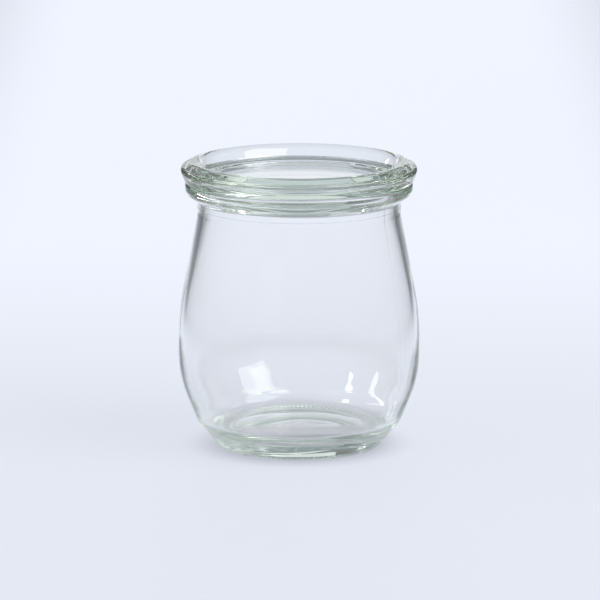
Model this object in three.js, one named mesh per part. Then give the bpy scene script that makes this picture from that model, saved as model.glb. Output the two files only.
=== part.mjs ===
// Small clear-glass tulip jar with a loose glass lid. Millimetres, +Z up.
// Both pieces are turned about the Z axis, and the jar stands on z = 0.
import * as THREE from 'three';

// Outside of the jar: a radius and a height for each corner of its outline
const FOOT_RADIUS = 23.6;
const FOOT_TOP_RADIUS = 24.9;
const FOOT_TOP = 1.25;
const HEEL_RADIUS = 30.1;
const HEEL_TOP = 7.6;
const BELLY_RADIUS = 35.45;
const BELLY_LOW = 20.9;
const BELLY_HIGH = 39.2;
const NECK_RADIUS = 29.85;
const NECK_LOW = 69.4;
const NECK_HIGH = 72.95;
const RIM_RADIUS = 33.4;
const RIM_LOW = 75.45;
const JAR_HEIGHT = 78.35;

// Inside of the jar
const WALL = 1.9;
const MOUTH_RADIUS = 27.75;
const INNER_BELLY_LOW = 21.5;
const FLOOR_RADIUS = 26.5;
const FLOOR_HEIGHT = 5.8;

// Shallow dome under the foot
const BEARING_WIDTH = 3.0;
const DOME_RADIUS = 9.0;
const DOME_HEIGHT = 1.9;

// Lid: heights count up from its seat on the rim
const SEAT_GAP = 0.1;
const LID_EDGE_RADIUS = 33.4;
const LID_RADIUS = 35.05;
const LID_SIDE = 4.15;
const CREST_RADIUS = 29.8;
const CREST_HEIGHT = 7.05;
const WELL_LEDGE_RADIUS = 27.0;
const WELL_LEDGE_HEIGHT = 2.8;
const WELL_FLOOR_RADIUS = 23.7;
const WELL_FLOOR_HEIGHT = 1.9;
const PLUG_RADIUS = 26.8;
const PLUG_DEPTH = 2.75;

// Radii that round the corners
const MOULD_ROUND = 0.45;
const EDGE_ROUND = 0.8;
const FOOT_ROUND = 0.8;
const DOME_ROUND = 60;
const HEEL_ROUND = 6;
const LOW_BELLY_ROUND = 32.7;
const HIGH_BELLY_ROUND = 70;
const NECK_ROUND = 8;
const RIM_ROUND = 2.4;
const FLOOR_ROUND = 6.5;
const LID_ROUND = 1.6;
const CREST_ROUND = 3.0;
const WELL_ROUND = 1.5;

// How finely curves are cut into flats
const CHORD_ERROR = 0.05;
const SEGMENTS = 64;

// One corner of a turned outline, with the radius that rounds it.
function corner(r, z, round = 0) {
  return { at: new THREE.Vector2(r, z), round };
}

// Adds the arc that rounds one corner between its two neighbours.
function addArc(points, before, here, after) {
  const back = before.at.clone().sub(here.at).normalize();
  const onward = after.at.clone().sub(here.at).normalize();
  const half = Math.acos(back.dot(onward)) / 2;
  const turn = Math.PI - 2 * half;
  const middle = back.clone().add(onward).normalize();
  const centre = here.at.clone().addScaledVector(middle, here.round / Math.sin(half));
  const start = here.at.clone().addScaledVector(back, here.round / Math.tan(half));
  const side = Math.sign(onward.cross(back));
  const step = 2 * Math.acos(1 - CHORD_ERROR / here.round);
  const count = Math.ceil(turn / step);
  for (let i = 0; i <= count; i += 1) {
    points.push(start.clone().rotateAround(centre, side * turn * i / count));
  }
}

// An outline that runs from axis to axis, with its corners rounded.
function roundedOutline(corners) {
  const last = corners.length - 1;
  const points = [corners[0].at];
  for (let i = 1; i < last; i += 1) {
    addArc(points, corners[i - 1], corners[i], corners[i + 1]);
  }
  points.push(corners[last].at);
  return points;
}

// A glass piece turned about the Z axis.
function turnedGlass(name, corners, colour) {
  const geometry = new THREE.LatheGeometry(roundedOutline(corners), SEGMENTS);
  geometry.rotateX(Math.PI / 2);
  const material = new THREE.MeshStandardMaterial({
    color: colour,
    roughness: 0.04,
    metalness: 0,
  });
  const mesh = new THREE.Mesh(geometry, material);
  mesh.name = name;
  return mesh;
}

// Underside of the foot, then the outside up to the rim, then the inside down to the floor.
function jarCorners() {
  const innerBelly = BELLY_RADIUS - WALL;
  return [
    corner(0, DOME_HEIGHT),
    corner(DOME_RADIUS, DOME_HEIGHT, DOME_ROUND),
    corner(FOOT_RADIUS - BEARING_WIDTH, 0, MOULD_ROUND),
    corner(FOOT_RADIUS, 0, MOULD_ROUND),
    corner(FOOT_TOP_RADIUS, FOOT_TOP, FOOT_ROUND),
    corner(HEEL_RADIUS, HEEL_TOP, HEEL_ROUND),
    corner(BELLY_RADIUS, BELLY_LOW, LOW_BELLY_ROUND),
    corner(BELLY_RADIUS, BELLY_HIGH, HIGH_BELLY_ROUND),
    corner(NECK_RADIUS, NECK_LOW, NECK_ROUND),
    corner(NECK_RADIUS, NECK_HIGH, MOULD_ROUND),
    corner(RIM_RADIUS, RIM_LOW, RIM_ROUND),
    corner(RIM_RADIUS, JAR_HEIGHT, EDGE_ROUND),
    corner(MOUTH_RADIUS, JAR_HEIGHT, EDGE_ROUND),
    corner(MOUTH_RADIUS, NECK_LOW, NECK_ROUND),
    corner(innerBelly, BELLY_HIGH, HIGH_BELLY_ROUND),
    corner(innerBelly, INNER_BELLY_LOW, LOW_BELLY_ROUND),
    corner(FLOOR_RADIUS, FLOOR_HEIGHT, FLOOR_ROUND),
    corner(0, FLOOR_HEIGHT),
  ];
}

// Underside with its centring plug, then the flange and the crest, then the well in the top.
function lidCorners() {
  const seat = JAR_HEIGHT + SEAT_GAP;
  const plugBottom = seat - PLUG_DEPTH;
  return [
    corner(0, plugBottom),
    corner(PLUG_RADIUS, plugBottom, EDGE_ROUND),
    corner(PLUG_RADIUS, seat, MOULD_ROUND),
    corner(LID_EDGE_RADIUS, seat, EDGE_ROUND),
    corner(LID_RADIUS, seat + LID_SIDE, LID_ROUND),
    corner(CREST_RADIUS, seat + CREST_HEIGHT, CREST_ROUND),
    corner(WELL_LEDGE_RADIUS, seat + WELL_LEDGE_HEIGHT, WELL_ROUND),
    corner(WELL_FLOOR_RADIUS, seat + WELL_FLOOR_HEIGHT, WELL_ROUND),
    corner(0, seat + WELL_FLOOR_HEIGHT),
  ];
}

const part = new THREE.Group();
part.name = 'tulip_jar';
part.add(turnedGlass('jar', jarCorners(), 0xd9e4e0));
part.add(turnedGlass('lid', lidCorners(), 0xcfdcd5));

export default part;
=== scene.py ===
"""Looks of a small clear-glass tulip jar with a loose glass lid, in metres, +Z up."""

import math
from collections import namedtuple

import bmesh
import bpy
from mathutils import Matrix, Vector, noise


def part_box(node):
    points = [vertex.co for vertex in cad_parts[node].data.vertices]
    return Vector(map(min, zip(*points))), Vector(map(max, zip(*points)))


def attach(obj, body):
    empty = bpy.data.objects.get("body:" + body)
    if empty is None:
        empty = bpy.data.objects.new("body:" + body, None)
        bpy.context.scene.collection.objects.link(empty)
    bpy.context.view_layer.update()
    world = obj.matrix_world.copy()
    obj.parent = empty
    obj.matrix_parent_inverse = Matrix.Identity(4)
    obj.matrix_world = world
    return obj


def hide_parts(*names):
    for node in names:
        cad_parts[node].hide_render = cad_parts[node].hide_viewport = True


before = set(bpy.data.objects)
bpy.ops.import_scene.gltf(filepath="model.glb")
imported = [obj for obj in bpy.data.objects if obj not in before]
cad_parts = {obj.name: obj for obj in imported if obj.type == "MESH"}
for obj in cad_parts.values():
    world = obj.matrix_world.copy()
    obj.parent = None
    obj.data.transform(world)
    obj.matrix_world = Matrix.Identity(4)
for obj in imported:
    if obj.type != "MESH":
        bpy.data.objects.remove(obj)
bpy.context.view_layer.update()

MM = 0.001

# Outside of the jar, in millimetres: a radius and a height for each corner of its outline
FOOT_RADIUS = 23.6
FOOT_TOP_RADIUS = 24.9
FOOT_TOP = 1.25
HEEL_RADIUS = 30.1
HEEL_TOP = 7.6
BELLY_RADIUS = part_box("jar")[1][0] / MM
BELLY_LOW = 20.9
BELLY_HIGH = 39.2
NECK_RADIUS = 29.85
NECK_LOW = 69.4
NECK_HIGH = 72.95
RIM_RADIUS = 33.4
RIM_LOW = 75.45
JAR_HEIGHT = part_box("jar")[1][2] / MM

# Inside of the jar
WALL = 1.9
MOUTH_RADIUS = 27.75
INNER_BELLY_LOW = 21.5
FLOOR_RADIUS = 26.5
FLOOR_HEIGHT = 5.8

# Shallow dome under the foot
BEARING_WIDTH = 3.0
DOME_RADIUS = 9.0
DOME_HEIGHT = 1.9

# Lid: heights count up from its seat on the rim
SEAT_GAP = 0.1
LID_EDGE_RADIUS = 33.4
LID_RADIUS = 35.05
LID_SIDE = 4.15
CREST_RADIUS = 29.8
CREST_HEIGHT = 7.05
WELL_LEDGE_RADIUS = 27.0
WELL_LEDGE_HEIGHT = 2.8
WELL_FLOOR_RADIUS = 23.7
WELL_FLOOR_HEIGHT = 1.9
PLUG_RADIUS = 26.8
PLUG_DEPTH = 2.75

# Radii that round the corners
MOULD_ROUND = 0.45
EDGE_ROUND = 0.8
FOOT_ROUND = 0.8
DOME_ROUND = 60
HEEL_ROUND = 6
LOW_BELLY_ROUND = 32.7
HIGH_BELLY_ROUND = 70
NECK_ROUND = 8
RIM_ROUND = 2.4
FLOOR_ROUND = 6.5
LID_ROUND = 1.6
CREST_ROUND = 3.0
WELL_ROUND = 1.5

# How finely the outlines are drawn and turned
ARC_STEP = math.radians(5)
RUN_STEP = 1.6
EIGHTH_STEPS = 50
MERGE = 1e-7

# Unevenness of the blown inside: the floor is where the surface is nearly level
WAVE_DEPTH = 0.16
WAVE_WIDTH = 19.0
WAVE_LENGTH = 34.0
WAVE_FADE_LOW = 60.0
WAVE_FADE_HIGH = 75.0
FLOOR_WAVE_DEPTH = 0.35
FLOOR_WAVE_WIDTH = 14.0
NEARLY_LEVEL = 0.9

# Marks of the mould: turns in degrees from the camera's side
SEAM_TURN = 57.0
SEAM_APART = 180.0
SEAM_HEIGHT = 0.06
SEAM_SPREAD = 0.8
KNURLS = 100
KNURL_DEPTH = 0.3
PARTING_HEIGHT = 71.2
PARTING_STEP = 0.07

# Clear glass: its tint where it is thick, and the faint unevenness of its skin
GLASS_IOR = 1.52
GLASS_TINT = (0.575, 0.70, 0.575, 1)
GLASS_DEPTH = 12.5
SKIN_BUMP = 0.006
SWELL_SCALE = 90.0
GRAIN_SCALE = 700.0
GRAIN_SHARE = 0.02
TOUCH_SCALE = 45.0
TOUCH_ROUGHNESS = 0.02

# Light table, in metres: each fade is a span, with the glow that is left at its dim end
TABLE_HALF_WIDTH = 4.0
TABLE_DROP = 0.00005
TABLE_GREY = (0.15, 0.15, 0.15, 1)
TABLE_ROUGHNESS = 0.6
GLOW_COLOUR = (0.851, 0.888, 1.0)
GLOW_POWER = 0.845
SIDE_FADE = (0.10, 0.25)
SIDE_GLOW = 0.15
NEAR_FADE = (-0.5, -0.2)
NEAR_GLOW = 0.25
# Painted contact shadow: the glow is dimmed under and round the foot of the jar
CONTACT_SHADOW_FADE = (0.016, 0.036)
CONTACT_SHADOW_GLOW = 0.55
# Dims the glow just behind the jar: it darkens what the glass looks through, and shows on the floor as a
# painted soft shadow
BEHIND_DIM_AND_SHADOW_FADE = (0.02, 0.34)
BEHIND_DIM_AND_SHADOW_GLOW = 0.87
FAR_FADE = (0.95, 1.25)
FAR_GLOW = 0.5

# Soft boxes that hang round the jar: degrees from the camera's side and from level, metres and watts
BOX_AIM = Vector((0, 0, 0.04))
BOX_AWAY = 0.9
Softbox = namedtuple("Softbox", "name azimuth elevation width height power")
SIDE_BOXES = (
    Softbox("right_softbox", azimuth=60, elevation=46, width=0.62, height=0.8, power=5.0),
    Softbox("left_softbox", azimuth=-72, elevation=30, width=0.13, height=0.12, power=0.7),
    Softbox("left_strip", azimuth=-122, elevation=18, width=0.7, height=0.1, power=1.1),
)

# Soft box that stands behind the jar
BACK_PLACE = Vector((0, 1.6, 0.275))
BACK_WIDTH = 1.0
BACK_HEIGHT = 0.45
BACK_POWER = 1.13
BACK_COLOUR = (0.92, 0.95, 1.0)

# Soft light all round, brighter overhead
SKY_LOW = (0.18, 0.175, 0.16, 1)
SKY_HIGH = (0.36, 0.40, 0.45, 1)
SKY_RISE = (0.1, 0.7)

# Camera and image
IMAGE_SIDE = 600
FOCAL_PIXELS = 5055
SENSOR = 36.0
CAMERA_AWAY = 1.459
CAMERA_UP = 0.3343
CAMERA_SIDE = 0.0003
CAMERA_NEAREST = 0.01
AIM_UP = 0.0429
BOUNCES = 64

Corner = namedtuple("Corner", "r z round", defaults=(0,))


class Outline:
    """Half a turned piece, drawn in the XZ plane: straight runs are extruded, round ones spun."""

    def __init__(self, corners):
        self.mesh = bmesh.new()
        points = [Vector((c.r, 0, c.z)) * MM for c in corners]
        self.tip = self.mesh.verts.new(points[0])
        for i in range(1, len(corners) - 1):
            self.round_corner(points[i - 1], points[i], points[i + 1], corners[i].round * MM)
        self.run_to(points[-1])

    def run_to(self, end):
        start = self.tip.co.copy()
        count = math.ceil((end - start).length / (RUN_STEP * MM))
        for i in range(count):
            grown = bmesh.ops.extrude_vert_indiv(self.mesh, verts=[self.tip])
            self.tip = grown["verts"][0]
            self.tip.co = start.lerp(end, (i + 1) / count)

    def round_corner(self, before, here, after, radius):
        inward = (here - before).normalized()
        onward = (after - here).normalized()
        turn = inward.angle(onward)
        self.run_to(here - inward * radius * math.tan(turn / 2))
        left = 1 if inward.x * onward.z > inward.z * onward.x else -1
        centre = self.tip.co + Vector((-inward.z, 0, inward.x)) * left * radius
        swept = bmesh.ops.spin(
            self.mesh, geom=[self.tip], cent=centre, axis=(0, 1, 0),
            angle=-left * turn, steps=math.ceil(turn / ARC_STEP),
        )
        self.tip = next(e for e in swept["geom_last"] if isinstance(e, bmesh.types.BMVert))

    def turned(self):
        """The solid that the outline sweeps out about the Z axis: one eighth is spun, then doubled up."""
        bm = self.mesh
        eighth = math.tau / 8
        bmesh.ops.spin(
            bm, geom=bm.verts[:] + bm.edges[:], cent=(0, 0, 0), axis=(0, 0, 1),
            angle=eighth, steps=EIGHTH_STEPS,
        )
        for share in (1, 2, 4):
            copy = bmesh.ops.duplicate(bm, geom=bm.verts[:] + bm.edges[:] + bm.faces[:])
            turning = [e for e in copy["geom"] if isinstance(e, bmesh.types.BMVert)]
            turn = Matrix.Rotation(share * eighth, 3, "Z")
            bmesh.ops.rotate(bm, verts=turning, cent=(0, 0, 0), matrix=turn)
        bmesh.ops.remove_doubles(bm, verts=bm.verts, dist=MERGE)
        bmesh.ops.recalc_face_normals(bm, faces=bm.faces)
        bm.normal_update()
        return bm


class Value:
    """A number in a shader. Plain arithmetic on it adds Math nodes."""

    def __init__(self, finish, socket):
        self.finish = finish
        self.socket = socket

    def math(self, operation, other):
        return self.finish.node("ShaderNodeMath", {"operation": operation}, {0: self, 1: other})

    def __add__(self, other):
        return self.math("ADD", other)

    def __mul__(self, other):
        return self.math("MULTIPLY", other)

    __radd__ = __add__
    __rmul__ = __mul__


class Finish:
    """The nodes of one material or of the world."""

    def __init__(self, owner):
        owner.use_nodes = True
        self.owner = owner
        self.tree = owner.node_tree
        self.tree.nodes.clear()

    def node(self, kind, settings=None, sockets=None, out=0):
        """Adds a node and gives the output that is asked for, by its place or its name."""
        node = self.tree.nodes.new(kind)
        for key, value in (settings or {}).items():
            setattr(node, key, value)
        for key, value in (sockets or {}).items():
            if isinstance(value, Value):
                self.tree.links.new(value.socket, node.inputs[key])
            else:
                node.inputs[key].default_value = value
        return Value(self, node.outputs[out]) if node.outputs else None

    def clouds(self, place, scale, detail):
        return self.node("ShaderNodeTexNoise", {}, {"Vector": place, "Scale": scale, "Detail": detail})

    def fade(self, value, span, start, end):
        """A smooth change from one number to another as a value crosses a span."""
        return self.node(
            "ShaderNodeMapRange", {"interpolation_type": "SMOOTHSTEP"},
            {"Value": value, "From Min": span[0], "From Max": span[1], "To Min": start, "To Max": end},
        )

    def mix(self, share, first, second):
        """A colour between two others. The Mix node keeps its colours on sockets 6 and 7."""
        return self.node("ShaderNodeMix", {"data_type": "RGBA"}, {0: share, 6: first, 7: second}, out=2)


def clear_glass(name):
    """Clear soda-lime glass, tinted by its depth, with a faintly uneven skin."""
    finish = Finish(bpy.data.materials.new(name))
    place = finish.node("ShaderNodeTexCoord", out="Object")
    swell = finish.clouds(place, SWELL_SCALE, 1.0)
    grain = finish.clouds(place, GRAIN_SCALE, 2.0)
    touch = finish.clouds(place, TOUCH_SCALE, 4.0)
    uneven = finish.node(
        "ShaderNodeBump", {},
        {"Strength": 1.0, "Distance": SKIN_BUMP * MM, "Height": swell + grain * GRAIN_SHARE},
    )
    surface = finish.node(
        "ShaderNodeBsdfPrincipled", {},
        {
            "Base Color": (1, 1, 1, 1), "Metallic": 0.0, "IOR": GLASS_IOR, "Transmission Weight": 1.0,
            "Roughness": touch * TOUCH_ROUGHNESS, "Normal": uneven,
        },
    )
    depth = finish.node("ShaderNodeVolumeAbsorption", {}, {"Color": GLASS_TINT, "Density": GLASS_DEPTH})
    finish.node("ShaderNodeOutputMaterial", {}, {"Surface": surface, "Volume": depth})
    return finish.owner


def pale_floor_with_painted_shadow():
    """A pale light table: it glows most behind the jar, and less under it and towards the sides. The
    dimming under the jar is a painted contact shadow, and the dimming just behind it darkens what the
    glass looks through and paints a soft shadow there.
    """
    finish = Finish(bpy.data.materials.new("pale_floor_with_painted_shadow"))
    place = finish.node("ShaderNodeTexCoord", out="Object")
    across = finish.node("ShaderNodeSeparateXYZ", {}, {0: place}, out="X")
    along = finish.node("ShaderNodeSeparateXYZ", {}, {0: place}, out="Y")
    side = finish.node("ShaderNodeMath", {"operation": "ABSOLUTE"}, {0: across})
    reach = finish.node("ShaderNodeVectorMath", {"operation": "LENGTH"}, {0: place}, out="Value")
    share = (
        finish.fade(side, SIDE_FADE, 1.0, SIDE_GLOW)
        * finish.fade(along, NEAR_FADE, NEAR_GLOW, 1.0)
        # dimmer just behind the jar: darkens what the glass shows, and paints a soft shadow there
        * finish.fade(along, BEHIND_DIM_AND_SHADOW_FADE, BEHIND_DIM_AND_SHADOW_GLOW, 1.0)
        * finish.fade(along, FAR_FADE, 1.0, FAR_GLOW)
        # painted contact shadow under and round the foot of the jar
        * finish.fade(reach, CONTACT_SHADOW_FADE, CONTACT_SHADOW_GLOW, 1.0)
    )
    glow = finish.node("ShaderNodeVectorMath", {"operation": "SCALE"}, {0: GLOW_COLOUR, "Scale": share})
    surface = finish.node(
        "ShaderNodeBsdfPrincipled", {},
        {
            "Base Color": TABLE_GREY, "Roughness": TABLE_ROUGHNESS,
            "Emission Color": glow, "Emission Strength": GLOW_POWER,
        },
    )
    finish.node("ShaderNodeOutputMaterial", {}, {"Surface": surface})
    return finish.owner


def mesh_object(name, bm, material):
    mesh = bpy.data.meshes.new(name)
    bm.to_mesh(mesh)
    bm.free()
    mesh.materials.append(material)
    made = bpy.data.objects.new(name, mesh)
    bpy.context.scene.collection.objects.link(made)
    return made


def glass_piece(name, node, bm):
    """Makes a turned solid the visible piece that stands for a node."""
    for face in bm.faces:
        face.smooth = True
    slot = node + "_glass"
    piece = mesh_object(name, bm, clear_glass(slot))
    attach(piece, "root")
    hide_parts(node)


def jar_corners():
    """Underside of the foot, then the outside up to the rim, then the inside down to the floor."""
    inner_belly = BELLY_RADIUS - WALL
    return [
        Corner(0, DOME_HEIGHT),
        Corner(DOME_RADIUS, DOME_HEIGHT, DOME_ROUND),
        Corner(FOOT_RADIUS - BEARING_WIDTH, 0, MOULD_ROUND),
        Corner(FOOT_RADIUS, 0, MOULD_ROUND),
        Corner(FOOT_TOP_RADIUS, FOOT_TOP, FOOT_ROUND),
        Corner(HEEL_RADIUS, HEEL_TOP, HEEL_ROUND),
        Corner(BELLY_RADIUS, BELLY_LOW, LOW_BELLY_ROUND),
        Corner(BELLY_RADIUS, BELLY_HIGH, HIGH_BELLY_ROUND),
        Corner(NECK_RADIUS, NECK_LOW, NECK_ROUND),
        Corner(NECK_RADIUS, PARTING_HEIGHT - PARTING_STEP, PARTING_STEP / 2),
        Corner(NECK_RADIUS + PARTING_STEP, PARTING_HEIGHT, PARTING_STEP / 2),
        Corner(NECK_RADIUS, PARTING_HEIGHT + PARTING_STEP, PARTING_STEP / 2),
        Corner(NECK_RADIUS, NECK_HIGH, MOULD_ROUND),
        Corner(RIM_RADIUS, RIM_LOW, RIM_ROUND),
        Corner(RIM_RADIUS, JAR_HEIGHT, EDGE_ROUND),
        Corner(MOUTH_RADIUS, JAR_HEIGHT, EDGE_ROUND),
        Corner(MOUTH_RADIUS, NECK_LOW, NECK_ROUND),
        Corner(inner_belly, BELLY_HIGH, HIGH_BELLY_ROUND),
        Corner(inner_belly, INNER_BELLY_LOW, LOW_BELLY_ROUND),
        Corner(FLOOR_RADIUS, FLOOR_HEIGHT, FLOOR_ROUND),
        Corner(0, FLOOR_HEIGHT),
    ]


def lid_corners():
    """Underside with its centring plug, then the flange and the crest, then the well in the top."""
    seat = JAR_HEIGHT + SEAT_GAP
    plug_bottom = seat - PLUG_DEPTH
    return [
        Corner(0, plug_bottom),
        Corner(PLUG_RADIUS, plug_bottom, EDGE_ROUND),
        Corner(PLUG_RADIUS, seat, MOULD_ROUND),
        Corner(LID_EDGE_RADIUS, seat, EDGE_ROUND),
        Corner(LID_RADIUS, seat + LID_SIDE, LID_ROUND),
        Corner(CREST_RADIUS, seat + CREST_HEIGHT, CREST_ROUND),
        Corner(WELL_LEDGE_RADIUS, seat + WELL_LEDGE_HEIGHT, WELL_ROUND),
        Corner(WELL_FLOOR_RADIUS, seat + WELL_FLOOR_HEIGHT, WELL_ROUND),
        Corner(0, seat + WELL_FLOOR_HEIGHT),
    ]


def blown_inside(bm):
    """Makes the inner wall and the floor inside gently uneven, fading out below the mouth."""
    for v in bm.verts:
        spot = v.co / MM
        outward = v.normal.dot(Vector((v.co.x, v.co.y, 0)))
        if v.normal.z > NEARLY_LEVEL and spot.z < HEEL_TOP:
            wave = noise.noise((spot.x / FLOOR_WAVE_WIDTH, spot.y / FLOOR_WAVE_WIDTH, 0))
            v.co.z += wave * FLOOR_WAVE_DEPTH * MM
        elif outward < 0 and spot.z > DOME_HEIGHT + MOULD_ROUND:
            fade = 1 - min(max((spot.z - WAVE_FADE_LOW) / (WAVE_FADE_HIGH - WAVE_FADE_LOW), 0), 1)
            wave = noise.noise((spot.x / WAVE_WIDTH, spot.y / WAVE_WIDTH, spot.z / WAVE_LENGTH))
            v.co += v.normal * wave * fade * WAVE_DEPTH * MM


def mould_seams(bm):
    """Raises a fine ridge down the outside where the two halves of the mould met."""
    for v in bm.verts:
        outward = v.normal.dot(Vector((v.co.x, v.co.y, 0)))
        if outward > 0 and HEEL_TOP < v.co.z / MM < NECK_HIGH:
            turn = math.degrees(math.atan2(v.co.x, -v.co.y)) - SEAM_TURN
            off = (turn + SEAM_APART / 2) % SEAM_APART - SEAM_APART / 2
            v.co += v.normal * SEAM_HEIGHT * MM * math.exp(-(off / SEAM_SPREAD) ** 2)


def knurled_foot(bm):
    """Cuts fine radial notches into the ring that the jar stands on."""
    for v in bm.verts:
        ring = math.hypot(v.co.x, v.co.y) / MM
        if ring > FOOT_RADIUS - BEARING_WIDTH and v.co.z / MM < FOOT_TOP / 2:
            notch = 0.5 - 0.5 * math.cos(KNURLS * math.atan2(v.co.y, v.co.x))
            v.co.z += notch * KNURL_DEPTH * MM


def jar():
    bm = Outline(jar_corners()).turned()
    blown_inside(bm)
    mould_seams(bm)
    knurled_foot(bm)
    glass_piece("jar_body", "jar", bm)


def lid():
    glass_piece("lid_disc", "lid", Outline(lid_corners()).turned())


def floor():
    """A flat sheet just below the foot."""
    bm = bmesh.new()
    bmesh.ops.create_grid(bm, x_segments=1, y_segments=1, size=TABLE_HALF_WIDTH)
    bmesh.ops.translate(bm, verts=bm.verts, vec=(0, 0, -TABLE_DROP))
    mesh_object("floor", bm, pale_floor_with_painted_shadow())


def facing(place, aim):
    """The turn that points a light or a camera from a place at an aim."""
    return (aim - place).to_track_quat("-Z", "Y").to_euler()


def hang_softbox(name, place, width, height, power, colour=(1, 1, 1)):
    light = bpy.data.lights.new(name, "AREA")
    light.shape = "RECTANGLE"
    light.size = width
    light.size_y = height
    light.energy = power
    light.color = colour
    lamp = bpy.data.objects.new(name, light)
    lamp.location = place
    lamp.rotation_euler = facing(place, BOX_AIM)
    bpy.context.scene.collection.objects.link(lamp)


def around(azimuth, elevation):
    """A place round the jar, azimuth counted from the camera's side towards +X."""
    a = math.radians(azimuth)
    e = math.radians(elevation)
    way = Vector((math.sin(a) * math.cos(e), -math.cos(a) * math.cos(e), math.sin(e)))
    return BOX_AIM + way * BOX_AWAY


def studio_light():
    hang_softbox("back_softbox", BACK_PLACE, BACK_WIDTH, BACK_HEIGHT, BACK_POWER, BACK_COLOUR)
    for box in SIDE_BOXES:
        hang_softbox(box.name, around(box.azimuth, box.elevation), box.width, box.height, box.power)


def studio_sky():
    finish = Finish(bpy.data.worlds.new("studio"))
    way = finish.node("ShaderNodeTexCoord", out="Generated")
    up = finish.node("ShaderNodeSeparateXYZ", {}, {0: way}, out="Z")
    tone = finish.mix(finish.fade(up, SKY_RISE, 0.0, 1.0), SKY_LOW, SKY_HIGH)
    sky = finish.node("ShaderNodeBackground", {}, {"Color": tone, "Strength": 1.0})
    finish.node("ShaderNodeOutputWorld", {}, {"Surface": sky})
    bpy.context.scene.world = finish.owner


def camera():
    lens = bpy.data.cameras.new("camera")
    lens.sensor_width = SENSOR
    lens.lens = FOCAL_PIXELS / IMAGE_SIDE * SENSOR
    lens.clip_start = CAMERA_NEAREST
    eye = bpy.data.objects.new("camera", lens)
    eye.location = (CAMERA_SIDE, -CAMERA_AWAY, CAMERA_UP)
    eye.rotation_euler = facing(eye.location, Vector((CAMERA_SIDE, 0, AIM_UP)))
    bpy.context.scene.collection.objects.link(eye)
    bpy.context.scene.camera = eye


def light_paths():
    """Plain colours, and enough bounces for light that runs round inside the lid and the rim."""
    scene = bpy.context.scene
    scene.view_settings.view_transform = "Standard"
    scene.cycles.max_bounces = BOUNCES
    scene.cycles.transmission_bounces = BOUNCES
    scene.cycles.glossy_bounces = BOUNCES


jar()
lid()
floor()
studio_light()
studio_sky()
camera()
light_paths()
